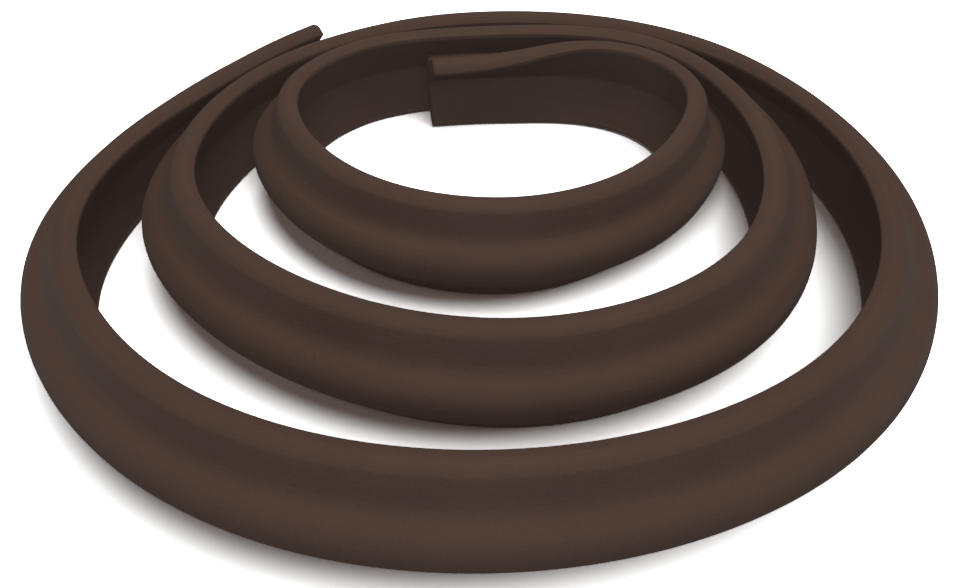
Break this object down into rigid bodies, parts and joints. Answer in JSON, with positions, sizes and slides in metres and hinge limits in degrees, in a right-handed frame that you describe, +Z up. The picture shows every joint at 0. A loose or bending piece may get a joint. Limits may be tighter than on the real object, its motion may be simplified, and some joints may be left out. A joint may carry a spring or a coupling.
{
  "type": "foam edge guard strip",
  "caption": "Soft foam edge guard, an L-shaped strip with a rounded bulging corner, wound into a loose free-standing coil",
  "frame": {"origin": "middle of the coil's bounding box, on the floor that the strip stands on", "axes": "+Z up, across the coil's turns; +Y towards the back, where the turns lie together and both ends are; +X to the right"},
  "size_m": [0.3024, 0.3, 0.0387],
  "materials": {
    "foam": "dark brown closed-cell foam, matte"
  },
  "bodies": {
    "root": {"outer_turn": "foam", "middle_turn": "foam", "inner_turn": "foam"}
  },
  "joints": []
}
